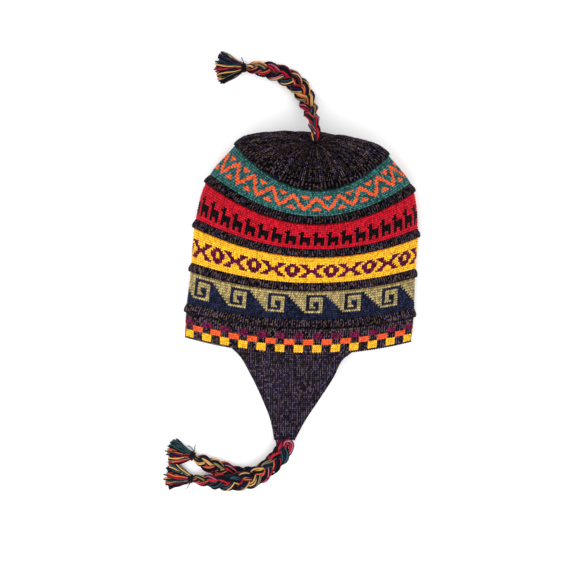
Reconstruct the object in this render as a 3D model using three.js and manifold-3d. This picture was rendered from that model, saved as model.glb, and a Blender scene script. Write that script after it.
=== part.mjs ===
// A knitted chullo hat lying on its side on a flat surface: a gathered crown, five patterned
// bands, five rolled welts between them, two ear flaps, three braided cords and their tassels.
// Units are millimetres. +Z is up, +Y points from the flaps to the crown, and the surface that
// the hat lies on is z = 0. The origin lies on that surface, under the middle of hat and flaps.
import * as THREE from "three";
import Module from "manifold-3d";
import { mergeVertices } from "three/addons/utils/BufferGeometryUtils.js";

const wasm = await Module();
wasm.setup();

// Driving dimensions
const WALL = 3; // stranded knitting, two yarns thick
const GAP = 0.3; // air between neighbouring pieces
const WELT_HEIGHT = 10.5; // a rolled welt, measured along the hat
const WELT_PROUD = 3; // how far a welt stands out of the bands beside it
const WELT_SUNK = 2.6; // how far it reaches into the hat from the bands' outer face
const FLAP_LENGTH = 100.5; // from the brim to the flap's tip
const FLAP_TIP_HEIGHT = 17; // middle of the upper flap's tip, which lies on the lower cord
const LOWER_FLAP_INSET = 2.5; // the hidden flap is drawn in a little on each side

// Facets
const AROUND = 44; // round the hat
const BAND_STEPS = 2; // along a band
const WELT_SIDES = 7; // round a welt's roll
const CROWN_STEPS = 9; // from the crown's edge to its middle
const FLAP_STEPS = { along: 9, across: 10 };
const CORD_SIDES = 10;

// The hat's outer face at the brim and at the middle of each welt, from the brim to the crown.
// y: the side folds' place along the hat. centre and half: the middle and half the width.
// slope: how much lower the right fold lies than the middle. sag: how far the upper layer slides
// towards the brim at its middle. lift: how far the lower layer slides towards the crown.
// side: the height of the folds. top: the height of the upper layer.
const HAT_SECTIONS = [
  { name: "brim", y: -63.1, centre: -4.7, half: 132.0, slope: 2.9, sag: 18.3, lift: 6, side: 10, top: 28 },
  { name: "welt_5", y: -28.4, centre: -2.1, half: 132.0, slope: 3.1, sag: 15.8, lift: 6, side: 11.5, top: 35 },
  { name: "welt_4", y: 19.4, centre: 0.8, half: 132.5, slope: 3.4, sag: 20.3, lift: 6, side: 14, top: 46 },
  { name: "welt_3", y: 68.8, centre: 4.6, half: 131.5, slope: 5.9, sag: 30.4, lift: 7, side: 18, top: 61 },
  { name: "welt_2", y: 122.0, centre: 8.9, half: 120.5, slope: 5.4, sag: 45.9, lift: 8, side: 24, top: 80 },
  { name: "welt_1", y: 164.4, centre: 11.2, half: 84.5, slope: 3.6, sag: 49.8, lift: 13, side: 34, top: 97 },
];
const FLOOR_SPREAD = 1.35; // above 1, the lower layer lies flat on the floor in its middle
const FLOOR_POWER = 0.9; // how fast the side folds turn under

// The crown's dome: a cone from its edge to a base point, pushed out along the crown's axis.
const CROWN_BASE = { x: 14.8, y: 155.8, z: 50 };
const CROWN_AXIS = new THREE.Vector3(0, 0.75, 0.66).normalize();
const CROWN_DOME = 18; // height of the dome over the cone
const CROWN_DOME_POWER = 3; // how flat the dome is near its middle
const CROWN_DIMPLE = { depth: 4, width: 0.18 }; // where the stitches are drawn together
const CROWN_GATHERS = { count: 11, height: 1.8, at: 0.3, width: 0.2 }; // radial puckers

// The ear flap's outline: how far along it, and where its left and right edges are across the hat.
const FLAP_OUTLINE = [
  { along: 0, left: -83.2, right: 60.4 },
  { along: 0.07, left: -73.7, right: 49 },
  { along: 0.27, left: -60, right: 36.8 },
  { along: 0.54, left: -46, right: 18.5 },
  { along: 0.77, left: -36.7, right: 3 },
  { along: 1, left: -32.9, right: -9.4 },
];

// Cords: the points that each braid follows, its oval section, and the spread of its tassel.
const TOP_CORD = {
  width: 19,
  thickness: 12,
  route: [
    [15.3, 169.8, 63.5],
    [15.9, 175, 67],
    [16.2, 181, 67],
    [15.6, 187.5, 62.5],
    [14.4, 193, 55],
    [12.9, 198, 45.5],
    [11.6, 203, 35],
    [10.1, 208.5, 24.5],
    [8, 215, 15],
    [5.3, 223, 8.2],
    [1, 231.5, 6.2],
    [-6.4, 240.2, 6.2],
    [-17.1, 247.6, 6.2],
    [-29.9, 253, 6.2],
    [-44.3, 256.5, 6.2],
    [-56.9, 258.3, 6.2],
    [-69.5, 259.2, 6.2],
  ],
  tassel: { length: 27, spread: 31, locks: 5 },
};
const UPPER_FLAP_CORD = {
  width: 20,
  thickness: 12,
  route: [
    [-21, -184, 18.8],
    [-21.6, -189, 19.2],
    [-24.2, -195.5, 19.2],
    [-29, -203, 19.2],
    [-35.4, -210, 19.2],
    [-43, -216.6, 19.2],
    [-52, -223, 19.2],
    [-61.5, -228, 19.2],
    [-71.4, -230.7, 19.2],
    [-81.5, -231.8, 18.4],
    [-93.2, -232, 16.2],
    [-104.7, -231.5, 12.6],
    [-114, -230.7, 9.2],
    [-123.3, -229.5, 6.9],
    [-132.8, -228.3, 6.2],
  ],
  tassel: { length: 24, spread: 20, locks: 5 },
};
const LOWER_FLAP_CORD = {
  width: 19,
  thickness: 12,
  route: [
    [-21.2, -160, 6.2],
    [-22.6, -169.3, 6.2],
    [-25.4, -181.1, 6.2],
    [-30.2, -193.5, 6.2],
    [-37, -204.7, 6.2],
    [-46.6, -214, 6.2],
    [-57.5, -219.6, 6.2],
    [-68.5, -221.6, 6.2],
    [-80, -220.6, 6.2],
    [-93.8, -216.8, 6.2],
    [-107.5, -211, 6.2],
    [-120, -204.4, 6.2],
    [-131, -198.2, 6.2],
  ],
  tassel: { length: 24, spread: 25, locks: 5 },
};

// Yarns
function yarn(name, colour) {
  return new THREE.MeshStandardMaterial({ name, color: colour, roughness: 0.95, metalness: 0 });
}
const DARK_MARL = yarn("dark_marl", "#2f282b");
const TEAL = yarn("teal_yarn", "#2f6663");
const RED = yarn("red_yarn", "#c9122a");
const YELLOW = yarn("yellow_yarn", "#edb21c");
const OLIVE = yarn("olive_yarn", "#8c8158");
const MIXED = yarn("mixed_yarn", "#5b3b2e");

// Smooth value of one column of a table at a place between its rows, carried on past its ends.
function column(table, key, place) {
  const last = table.length - 1;
  const row = Math.min(Math.max(Math.floor(place), 0), last - 1);
  const share = place - row;
  const at = (k) => table[Math.min(Math.max(k, 0), last)][key];
  if (share < 0 || share > 1) return at(row) + (at(row + 1) - at(row)) * share;
  const before = row > 0 ? (at(row + 1) - at(row - 1)) / 2 : at(row + 1) - at(row);
  const after = row + 1 < last ? (at(row + 2) - at(row)) / 2 : at(row + 1) - at(row);
  const rise = at(row + 1) - at(row);
  return (
    at(row) + share * (before + share * (3 * rise - 2 * before - after + share * (before + after - 2 * rise)))
  );
}

// Millimetres along the side folds from one section to the next.
function sectionStep(place) {
  const row = Math.min(Math.max(Math.floor(place), 0), HAT_SECTIONS.length - 2);
  return HAT_SECTIONS[row + 1].y - HAT_SECTIONS[row].y;
}

// A point of the hat: angle 0 is the right fold and a quarter turn the upper layer's middle,
// place counts sections from the brim, and inset is the depth under the bands' outer face.
function hatPoint(angle, place, inset) {
  const at = (key) => column(HAT_SECTIONS, key, place);
  const across = Math.cos(angle);
  const rise = Math.sin(angle);
  const bow = 1 - across * across;
  const side = at("side");
  const floor = Math.max(inset, 0);
  const under = Math.min(1, FLOOR_SPREAD * Math.abs(rise) ** FLOOR_POWER);
  const upper = rise >= 0;
  return new THREE.Vector3(
    at("centre") + (at("half") - inset) * across,
    at("y") - at("slope") * across + (upper ? -at("sag") : at("lift")) * bow,
    upper ? side + (at("top") - inset - side) * rise : side - (side - floor) * under,
  );
}

// One closed body between an outer and an inner grid of points, rows along and columns across.
// A ring's last column joins its first. A tip closes the last row on a single outer and inner point.
function wallBetween(outer, inner, { ring = false, tip = null } = {}) {
  const rows = outer.length;
  const columns = outer[0].length;
  const points = [...outer.flat(), ...inner.flat(), ...(tip ?? [])];
  const faces = [];
  const quad = (a, b, c, d) => faces.push(a, b, c, a, c, d);
  const out = (row, k) => row * columns + (k % columns);
  const into = (row, k) => rows * columns + out(row, k);
  const across = ring ? columns : columns - 1;
  for (let k = 0; k < across; k += 1) {
    for (let row = 0; row < rows - 1; row += 1) {
      quad(out(row, k), out(row, k + 1), out(row + 1, k + 1), out(row + 1, k));
      quad(into(row, k), into(row + 1, k), into(row + 1, k + 1), into(row, k + 1));
    }
    quad(out(0, k), into(0, k), into(0, k + 1), out(0, k + 1));
    if (tip) {
      faces.push(out(rows - 1, k), out(rows - 1, k + 1), points.length - 2);
      faces.push(into(rows - 1, k + 1), into(rows - 1, k), points.length - 1);
    } else {
      quad(out(rows - 1, k), out(rows - 1, k + 1), into(rows - 1, k + 1), into(rows - 1, k));
    }
  }
  for (let row = 0; !ring && row < rows - 1; row += 1) {
    quad(out(row, 0), out(row + 1, 0), into(row + 1, 0), into(row, 0));
    quad(out(row, across), into(row, across), into(row + 1, across), out(row + 1, across));
  }
  return faced(points, faces);
}

// Geometry from points and triangles, turned so that its faces point outwards.
function faced(points, faces) {
  let volume = 0;
  for (let k = 0; k < faces.length; k += 3) {
    const [a, b, c] = [points[faces[k]], points[faces[k + 1]], points[faces[k + 2]]];
    volume += a.dot(new THREE.Vector3().crossVectors(b, c));
  }
  if (volume < 0) faces.reverse();
  const geometry = new THREE.BufferGeometry().setFromPoints(points);
  geometry.setIndex(faces);
  return geometry;
}

const ANGLES = Array.from({ length: AROUND }, (_, k) => (2 * Math.PI * k) / AROUND);

// A patterned band: the wall from one section to the next, short of the welts at its ends.
function bandGeometry(section, startsAtBrim) {
  const margin = (WELT_HEIGHT / 2 + GAP) / sectionStep(section);
  const from = section + (startsAtBrim ? 0 : margin);
  const to = section + 1 - margin;
  const grid = (inset) =>
    Array.from({ length: BAND_STEPS + 1 }, (_, row) =>
      ANGLES.map((angle) => hatPoint(angle, from + ((to - from) * row) / BAND_STEPS, inset)),
    );
  return wallBetween(grid(0), grid(WALL), { ring: true });
}

// A welt: an oval roll carried round the hat, flattened where it lies on the floor.
function weltGeometry(section) {
  const middle = (WELT_SUNK - WELT_PROUD) / 2;
  const reach = (WELT_SUNK + WELT_PROUD) / 2;
  const points = [];
  const faces = [];
  for (let side = 0; side < WELT_SIDES; side += 1) {
    const turn = (2 * Math.PI * (side + 0.5)) / WELT_SIDES;
    const along = (WELT_HEIGHT / 2) * Math.sin(turn);
    const place = section + along / sectionStep(along < 0 ? section - 1 : section);
    points.push(...ANGLES.map((angle) => hatPoint(angle, place, middle - reach * Math.cos(turn))));
    for (let k = 0; k < AROUND; k += 1) {
      const [here, next] = [side * AROUND, ((side + 1) % WELT_SIDES) * AROUND];
      const beside = (k + 1) % AROUND;
      faces.push(here + k, here + beside, next + beside, here + k, next + beside, next + k);
    }
  }
  return faced(points, faces);
}

// A point of the crown's outer face: share 1 is its edge beside the topmost welt, 0 its middle.
const CROWN_EDGE = HAT_SECTIONS.length - 1 + (WELT_HEIGHT / 2 + GAP) / sectionStep(HAT_SECTIONS.length - 2);
function crownPoint(angle, share) {
  const base = new THREE.Vector3(CROWN_BASE.x, CROWN_BASE.y, CROWN_BASE.z);
  const { count, height, at, width } = CROWN_GATHERS;
  const dome = CROWN_DOME * (1 - share ** CROWN_DOME_POWER);
  const dimple = CROWN_DIMPLE.depth * Math.exp(-((share / CROWN_DIMPLE.width) ** 2));
  const pucker = height * Math.cos(count * angle) * Math.exp(-(((share - at) / width) ** 2));
  return base
    .lerp(hatPoint(angle, CROWN_EDGE, 0), share)
    .addScaledVector(CROWN_AXIS, dome - dimple + pucker * (1 - share));
}

// The crown: its outer face thickened inwards, square to the face, and square to the edge there.
function crownGeometry() {
  const shares = Array.from({ length: CROWN_STEPS }, (_, row) => 1 - (row / CROWN_STEPS) ** 1.15);
  const outer = shares.map((share) => ANGLES.map((angle) => crownPoint(angle, share)));
  const nudge = 0.02;
  const inner = shares.map((share) =>
    ANGLES.map((angle) => {
      const inwards = new THREE.Vector3().crossVectors(
        crownPoint(angle, share + nudge).sub(crownPoint(angle, share - nudge)),
        crownPoint(angle + nudge, share).sub(crownPoint(angle - nudge, share)),
      );
      const thick = inwards.normalize().multiplyScalar(inwards.dot(CROWN_AXIS) > 0 ? -WALL : WALL);
      const edgeThick = hatPoint(angle, CROWN_EDGE, WALL).sub(hatPoint(angle, CROWN_EDGE, 0));
      const inside = Math.min(1, (1 - share) / 0.3);
      return crownPoint(angle, share).add(edgeThick.lerp(thick, inside));
    }),
  );
  const middle = crownPoint(0, 0);
  return wallBetween(outer, inner, {
    ring: true,
    tip: [middle, middle.clone().addScaledVector(CROWN_AXIS, -WALL)],
  });
}

// An ear flap: knitted on from the brim, it narrows to a tip. The upper one comes down from the
// upper layer to the cord that it lies on, and the lower one lies flat.
function flapGeometry(upper) {
  const brim = HAT_SECTIONS[0];
  const last = FLAP_OUTLINE.length - 1;
  const edge = (key, along) => {
    const row = Math.max(0, FLAP_OUTLINE.findLastIndex((r) => r.along <= along));
    const below = FLAP_OUTLINE[Math.min(row + 1, last)];
    const share = row < last ? (along - FLAP_OUTLINE[row].along) / (below.along - FLAP_OUTLINE[row].along) : 0;
    return column(FLAP_OUTLINE, key, row + share);
  };
  const grid = (depth) =>
    Array.from({ length: FLAP_STEPS.along + 1 }, (_, row) => {
      const along = row / FLAP_STEPS.along;
      const inset = upper ? 0 : LOWER_FLAP_INSET;
      const [left, right] = [edge("left", along) + inset, edge("right", along) - inset];
      return Array.from({ length: FLAP_STEPS.across + 1 }, (_, k) => {
        const x = left + ((right - left) * k) / FLAP_STEPS.across;
        const across = (x - brim.centre) / brim.half;
        const bow = 1 - across * across;
        const root = brim.y - brim.slope * across + (upper ? -brim.sag : brim.lift) * bow - GAP;
        const middle = brim.y + (upper ? -brim.sag : brim.lift) - GAP;
        const y = root + (middle - FLAP_LENGTH - root) * along;
        const rootHeight = upper ? brim.side + (brim.top - brim.side) * Math.sqrt(bow) - WALL / 2 : WALL / 2;
        const tipHeight = upper ? FLAP_TIP_HEIGHT : WALL / 2;
        const z = rootHeight + (tipHeight - rootHeight) * along * (2 - along);
        return new THREE.Vector3(x, y, z + depth);
      });
    });
  return wallBetween(grid(WALL / 2), grid(-WALL / 2));
}

// A braided cord: an oval tube along its route.
function cordGeometry({ width, thickness, route }) {
  const path = new THREE.CatmullRomCurve3(route.map((p) => new THREE.Vector3(...p)), false, "centripetal");
  const outline = Array.from({ length: CORD_SIDES }, (_, k) => {
    const turn = (2 * Math.PI * (k + 0.5)) / CORD_SIDES;
    return [Math.cos(turn) / 2, Math.sin(turn) / 2];
  });
  const flatAlongX = Math.abs(path.computeFrenetFrames(2).normals[0].z) < Math.SQRT1_2;
  const section = outline.map(([a, b]) =>
    flatAlongX ? new THREE.Vector2(a * width, b * thickness) : new THREE.Vector2(a * thickness, b * width),
  );
  return new THREE.ExtrudeGeometry(new THREE.Shape(section), { steps: 2 * route.length, extrudePath: path });
}

// A geometry as a solid that can be joined to others, and a solid as a geometry.
function solidFrom(geometry) {
  const bare = new THREE.BufferGeometry();
  bare.setAttribute("position", geometry.getAttribute("position"));
  bare.setIndex(geometry.getIndex());
  const merged = mergeVertices(bare, 1e-3);
  return new wasm.Manifold(
    new wasm.Mesh({
      numProp: 3,
      vertProperties: merged.getAttribute("position").array,
      triVerts: new Uint32Array(merged.getIndex().array),
    }),
  );
}
function geometryFrom(solid) {
  const { numProp, vertProperties, triVerts } = solid.getMesh();
  const geometry = new THREE.BufferGeometry();
  geometry.setAttribute("position", new THREE.BufferAttribute(new Float32Array(vertProperties), numProp));
  geometry.setIndex(new THREE.BufferAttribute(new Uint32Array(triVerts), 1));
  return geometry;
}

// A tassel at a cord's end: a tied neck with two layers of locks that fan out from it on the floor.
const NECK = { radius: 5.4, length: 9 };
const LOCK = { neckRadius: 1.6, endRadius: 3.1, sides: 6 };
function tasselGeometry({ route, tassel }) {
  const end = new THREE.Vector3(...route.at(-1));
  const heading = end.clone().sub(new THREE.Vector3(...route.at(-2))).setZ(0).normalize();
  const aside = new THREE.Vector3(-heading.y, heading.x, 0);
  const neckAt = end.clone().addScaledVector(heading, NECK.length / 2 + GAP);
  const neck = new THREE.SphereGeometry(1, 10, 6)
    .scale(NECK.length / 2, NECK.radius, NECK.radius)
    .rotateZ(Math.atan2(heading.y, heading.x))
    .translate(neckAt.x, neckAt.y, NECK.radius);
  let solid = solidFrom(neck);
  const layers = [
    { count: tassel.locks, height: LOCK.endRadius, reach: 1 },
    { count: tassel.locks - 1, height: 2.5 * LOCK.endRadius, reach: 0.94 },
  ];
  for (const { count, height, reach } of layers) {
    for (let k = 0; k < count; k += 1) {
      const fan = (k - (count - 1) / 2) / (tassel.locks - 1);
      const foot = neckAt
        .clone()
        .addScaledVector(heading, tassel.length * reach * (1 - 0.35 * fan * fan))
        .addScaledVector(aside, tassel.spread * fan)
        .setZ(height);
      const way = foot.clone().sub(new THREE.Vector3(neckAt.x, neckAt.y, NECK.radius));
      const lock = new THREE.CylinderGeometry(LOCK.endRadius, LOCK.neckRadius, way.length(), LOCK.sides)
        .translate(0, way.length() / 2, 0)
        .applyQuaternion(
          new THREE.Quaternion().setFromUnitVectors(new THREE.Vector3(0, 1, 0), way.clone().normalize()),
        )
        .translate(neckAt.x, neckAt.y, NECK.radius);
      lift(lock);
      solid = solid.add(solidFrom(lock));
    }
  }
  return geometryFrom(solid);
}

// Presses what would reach under the floor flat on it.
function lift(geometry) {
  const place = geometry.getAttribute("position");
  for (let k = 0; k < place.count; k += 1) place.setZ(k, Math.max(0, place.getZ(k)));
}

// The whole hat
const hat = new THREE.Group();
hat.name = "chullo_hat";
function add(name, geometry, material) {
  const mesh = new THREE.Mesh(geometry, material);
  mesh.name = name;
  hat.add(mesh);
}

add("crown", crownGeometry(), DARK_MARL);
const BANDS = [
  ["brim_band", DARK_MARL],
  ["olive_band", OLIVE],
  ["yellow_band", YELLOW],
  ["red_band", RED],
  ["teal_band", TEAL],
];
BANDS.forEach(([name, material], section) => add(name, bandGeometry(section, section === 0), material));
HAT_SECTIONS.forEach(({ name }, section) => {
  if (section > 0) add(name, weltGeometry(section), DARK_MARL);
});
add("upper_ear_flap", flapGeometry(true), DARK_MARL);
add("lower_ear_flap", flapGeometry(false), DARK_MARL);
const CORDS = { top: TOP_CORD, upper_flap: UPPER_FLAP_CORD, lower_flap: LOWER_FLAP_CORD };
for (const [name, cord] of Object.entries(CORDS)) {
  add(name + "_braid", cordGeometry(cord), MIXED);
  add(name + "_tassel", tasselGeometry(cord), MIXED);
}

export default hat;
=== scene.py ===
# %% [markdown]
# A chullo hat in knitted wool
#
# The hat lies on its side and is seen from straight above. The CAD model of it is loaded as a
# fixed frame of plain solids. Each solid is then replaced by a surface that is worked out stitch
# by stitch, in the same place and in metres. Sizes in this lesson are written in millimetres.

# %% Load the frame
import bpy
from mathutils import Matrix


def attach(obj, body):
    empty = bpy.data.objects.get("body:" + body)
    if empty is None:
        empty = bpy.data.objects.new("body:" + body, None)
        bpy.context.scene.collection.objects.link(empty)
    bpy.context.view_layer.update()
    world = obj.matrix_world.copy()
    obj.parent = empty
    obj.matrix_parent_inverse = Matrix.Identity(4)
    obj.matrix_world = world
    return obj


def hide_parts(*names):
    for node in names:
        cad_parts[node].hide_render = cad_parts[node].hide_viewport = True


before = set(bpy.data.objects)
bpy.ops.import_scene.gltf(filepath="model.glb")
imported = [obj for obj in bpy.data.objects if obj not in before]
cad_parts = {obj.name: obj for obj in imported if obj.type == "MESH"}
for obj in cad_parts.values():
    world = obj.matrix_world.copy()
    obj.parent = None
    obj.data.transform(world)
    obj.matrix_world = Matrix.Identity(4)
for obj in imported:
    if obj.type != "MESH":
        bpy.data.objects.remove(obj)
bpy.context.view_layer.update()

import bmesh
import bpy
import numpy as np

MM = 0.001
rng = np.random.default_rng(11)

# %% [markdown]
# The camera
#
# The photograph was taken from straight above. A long lens far away would show the same as a
# short lens close by, apart from perspective. The hat is flat and shows almost none, so the
# camera hangs high up, and the lens is worked out from the width that the frame takes in.

# %% Camera
FRAME_WIDTH = 672.6  # mm that the square frame takes in, at the height of the hat's upper face
FRAME_MIDDLE = (-20.65, 1.77)
EYE_HEIGHT = 2600.0
UPPER_FACE = 25.0
lens = bpy.data.cameras.new("overhead_camera")
lens.sensor_width = 36.0
lens.lens = lens.sensor_width * (EYE_HEIGHT - UPPER_FACE) / FRAME_WIDTH
overhead = bpy.data.objects.new("overhead_camera", lens)
overhead.location = (FRAME_MIDDLE[0] * MM, FRAME_MIDDLE[1] * MM, EYE_HEIGHT * MM)
bpy.context.collection.objects.link(overhead)
bpy.context.scene.camera = overhead
print("camera: lens", round(lens.lens, 1), "mm at", round(EYE_HEIGHT), "mm")

# %% [markdown]
# Yarn colours
#
# Every stitch of the real hat is one short length of dyed wool, so a colour belongs to a stitch
# and not to a place in an image. The colours are written as sRGB hex values, turned to linear
# light by one function, and stored on the mesh's face corners. The dark yarn is a marl: strands
# of brown, blue and black are spun together, so its colour changes from leg to leg of a stitch.

# %% Colours
def linear(code):
    """sRGB hex to linear light: c / 12.92 for dark channels, ((c + 0.055) / 1.055) ^ 2.4 for others."""
    channel = np.array([int(code[k : k + 2], 16) for k in (1, 3, 5)]) / 255
    return np.where(channel <= 0.04045, channel / 12.92, ((channel + 0.055) / 1.055) ** 2.4)


# teal, orange, red, black, yellow, burgundy of the rings and of the brim, olive and navy
DYES = {
    "t": "#386866", "o": "#f26c3c", "r": "#c81b2f", "k": "#100e12", "y": "#f9c735",
    "b": "#64193c", "w": "#6a1c40", "g": "#ae9c6c", "n": "#1f233a",
}
MARL_DARK = ["#030204", "#050407", "#08060a", "#0b080c", "#0f0b12", "#140f19", "#1a131b", "#1f1827"]
MARL_LIGHT = ["#32283a", "#3d302e", "#453a54", "#574534", "#554a66", "#66523e", "#6a5a68", "#74626a"]
print("dyes:", len(DYES), "and a marl of", len(MARL_DARK) + len(MARL_LIGHT), "shades")

# %% [markdown]
# Putting arrays into a mesh
#
# A mesh could be built one vertex at a time. Here all points, faces, colours and texture places
# are whole arrays, and Blender takes each array in one call, which is short and fast.

# %% Mesh from arrays
WELD = 2e-6  # m, points nearer than this become one
THIN = 1e-6  # m, faces thinner than this go


def put_mesh(name, points, faces, colours, bake, material, merge=False):
    """Points in mm and four-cornered faces become an object. The volume's sign, the sum of
    a . (b x c) over the faces, says whether they point outwards, and turns them if not."""
    a, b, c, d = (points[faces[:, k]] for k in range(4))
    volume = np.sum(a * np.cross(b, c)) + np.sum(a * np.cross(c, d))
    if volume < 0:
        faces, colours, bake = faces[:, ::-1], colours[:, ::-1], bake[:, ::-1]
    mesh = bpy.data.meshes.new(name)
    mesh.vertices.add(len(points))
    mesh.vertices.foreach_set("co", (points * MM).astype(np.float32).ravel())
    mesh.loops.add(faces.size)
    mesh.loops.foreach_set("vertex_index", faces.astype(np.int32).ravel())
    mesh.polygons.add(len(faces))
    mesh.polygons.foreach_set("loop_start", np.arange(0, faces.size, 4, dtype=np.int32))
    mesh.update(calc_edges=True)
    paint = mesh.color_attributes.new("Yarn", "FLOAT_COLOR", "CORNER")
    paint.data.foreach_set("color", np.insert(colours, 3, 1.0, axis=2).astype(np.float32).ravel())
    spread = mesh.uv_layers.new(name="OFBake")
    spread.data.foreach_set("uv", bake.astype(np.float32).ravel())
    if merge:
        work = bmesh.new()
        work.from_mesh(mesh)
        bmesh.ops.remove_doubles(work, verts=work.verts, dist=WELD)
        bmesh.ops.dissolve_degenerate(work, edges=work.edges, dist=THIN)
        work.to_mesh(mesh)
        work.free()
    mesh.shade_smooth()
    mesh.materials.append(material)
    piece = bpy.data.objects.new(name, mesh)
    bpy.context.collection.objects.link(piece)
    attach(piece, "root")
    mesh.calc_loop_triangles()
    print(name, "has", len(mesh.loop_triangles), "triangles")
    return piece


def grid_faces(lines, columns, wrap_lines, wrap_columns):
    """Corners (i, j), (i, j+1), (i+1, j+1), (i+1, j) of every cell of a grid, as vertex numbers."""
    i = np.arange(lines if wrap_lines else lines - 1)[:, None]
    j = np.arange(columns if wrap_columns else columns - 1)[None, :]
    below, beside = (i + 1) % lines, (j + 1) % columns
    first, next_line = i * columns, below * columns
    return np.stack([first + j, first + beside, next_line + beside, next_line + j], -1)


# %% [markdown]
# Wool
#
# Wool is a dull fibre: light scatters in it, so its roughness is near 0.9, and fine hairs catch
# light at the rim, which the sheen gives. Single hairs of 0.03 mm are far too fine to show, so
# the noise that stands for them is drawn coarser, at 0.8 mm, as small flecks and bumps.

# %% Wool material
ROUGHNESS = 0.9
GLOSS = 0.03  # of the usual reflection, as wool's scales hardly shine


def add_node(tree, kind, settings=None, sockets=None, links=None):
    """Adds one node: its settings, the values of its sockets, and what is linked to them."""
    made = tree.nodes.new(kind)
    for key, value in (settings or {}).items():
        setattr(made, key, value)
    for key, value in (sockets or {}).items():
        made.inputs[key].default_value = value
    for key, output in (links or {}).items():
        tree.links.new(output, made.inputs[key])
    return made


def wool(name, fleck_mm, fleck, bump_mm, sheen=0.03):
    """The colour that each stitch carries, times a fine noise, on a rough surface with a sheen."""
    material = bpy.data.materials.new(name)
    material.use_nodes = True
    tree = material.node_tree
    tree.nodes.clear()
    yarn = add_node(tree, "ShaderNodeVertexColor", {"layer_name": "Yarn"})
    place = add_node(tree, "ShaderNodeTexCoord")
    values = {"Scale": 1 / (fleck_mm * MM), "Detail": 3.0, "Roughness": 0.6}
    links = {"Vector": place.outputs["Object"]}
    fibres = add_node(tree, "ShaderNodeTexNoise", {}, values, links)
    values = {"From Min": 0.3, "From Max": 0.7, "To Min": 1 - fleck, "To Max": 1 + fleck}
    links = {"Value": fibres.outputs["Fac"]}
    tone = add_node(tree, "ShaderNodeMapRange", {}, values, links)
    product = {"data_type": "RGBA", "blend_type": "MULTIPLY"}
    links = {6: yarn.outputs["Color"], 7: tone.outputs["Result"]}
    colour = add_node(tree, "ShaderNodeMix", product, {0: 1.0}, links)
    values = {"Strength": 0.6, "Distance": bump_mm * MM}
    links = {"Height": fibres.outputs["Fac"]}
    bump = add_node(tree, "ShaderNodeBump", {}, values, links)
    values = {"Roughness": ROUGHNESS, "IOR": 1.5, "Specular IOR Level": GLOSS}
    values.update({"Sheen Weight": sheen, "Sheen Roughness": 0.5})
    links = {"Base Color": colour.outputs[2], "Normal": bump.outputs["Normal"]}
    surface = add_node(tree, "ShaderNodeBsdfPrincipled", {}, values, links)
    add_node(tree, "ShaderNodeOutputMaterial", links={"Surface": surface.outputs["BSDF"]})
    return material


plied_wool = wool("plied_wool_yarn", fleck_mm=0.9, fleck=0.22, bump_mm=0.25)
print("material:", plied_wool.name)

# %% [markdown]
# Paths for cords
#
# A braid follows a route: a few points, close to those of its CAD solid and fitted to the
# photograph. A curve object with a bevel could carry a plain tube along it. Here the route
# becomes an array of evenly spaced points, because many yarns will be laid around it.

# %% Smooth routes
def smooth_route(points, step):
    """Cubic pieces through the points, with slopes from their neighbours, at even steps of length."""
    points = np.asarray(points, float)
    span = np.linalg.norm(np.diff(points, axis=0), axis=1)
    at = np.concatenate([[0], np.cumsum(span)])
    slope = np.gradient(points, at, axis=0)
    t = np.linspace(0, at[-1], int(4 * at[-1]))
    row = np.clip(np.searchsorted(at, t, side="right") - 1, 0, len(span) - 1)
    h = span[row][:, None]
    s = (t - at[row])[:, None] / h
    line = (1 + 2 * s) * (1 - s) ** 2 * points[row] + s * (1 - s) ** 2 * h * slope[row]
    line = line + s * s * (3 - 2 * s) * points[row + 1] + s * s * (s - 1) * h * slope[row + 1]
    length = np.concatenate([[0], np.cumsum(np.linalg.norm(np.diff(line, axis=0), axis=1))])
    even = np.linspace(0, length[-1], int(length[-1] / step) + 2)
    return np.stack([np.interp(even, length, line[:, k]) for k in range(3)], axis=1), length[-1]


ROUTES = {
    "top": [
        (15.3, 169.8, 63.5), (14.8, 175, 67), (14.4, 181, 67), (13.6, 187.5, 62.5),
        (12.5, 193, 55), (11.2, 198, 45.5), (10.2, 203, 35), (9, 208.5, 24.5),
        (7.2, 215, 15), (4.7, 223, 8.2), (0.6, 231.5, 6.2), (-6.6, 240.4, 6.2),
        (-17, 248.2, 6.2), (-29.6, 254, 6.2), (-44.2, 257.8, 6.2), (-56.9, 259.6, 6.2),
        (-69.5, 260, 6.2),
    ],
    "upper_flap": [
        (-21, -184, 18.8), (-21.6, -189, 19.2), (-24.2, -195.5, 19.2), (-29, -203, 19.2),
        (-35.4, -210, 19.2), (-43, -216.6, 19.2), (-52, -223, 19.2), (-61.5, -228, 19.2),
        (-71.4, -230.7, 19.2), (-81.5, -231.8, 18.4), (-93.2, -232, 16.2), (-104.7, -231.5, 12.6),
        (-114, -230.7, 9.2), (-123.3, -229.5, 6.9), (-132.8, -228.3, 6.2),
    ],
    "lower_flap": [
        (-21.2, -160, 6.2), (-22.6, -169.3, 6.2), (-23.6, -182.3, 6.2), (-27.8, -195.8, 6.2),
        (-34.4, -207.8, 6.2), (-44.4, -217.6, 6.2), (-56.2, -223.2, 6.2), (-68, -224.4, 6.2),
        (-80, -222.8, 6.2), (-93.8, -218.2, 6.2), (-107.5, -213.4, 6.2), (-120, -207.4, 6.2),
        (-131, -201.4, 6.2),
    ],
}
for name, points in ROUTES.items():
    print(name, "braid is", round(smooth_route(points, 1.5)[1]), "mm long")

# %% [markdown]
# Yarns as tubes
#
# Each yarn is a thin tube along its own path. Its round section is carried along the path on two
# directions square to it, for all yarns of a piece at once. The last ring at each end closes to a
# point, so no tube is left open.

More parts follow.
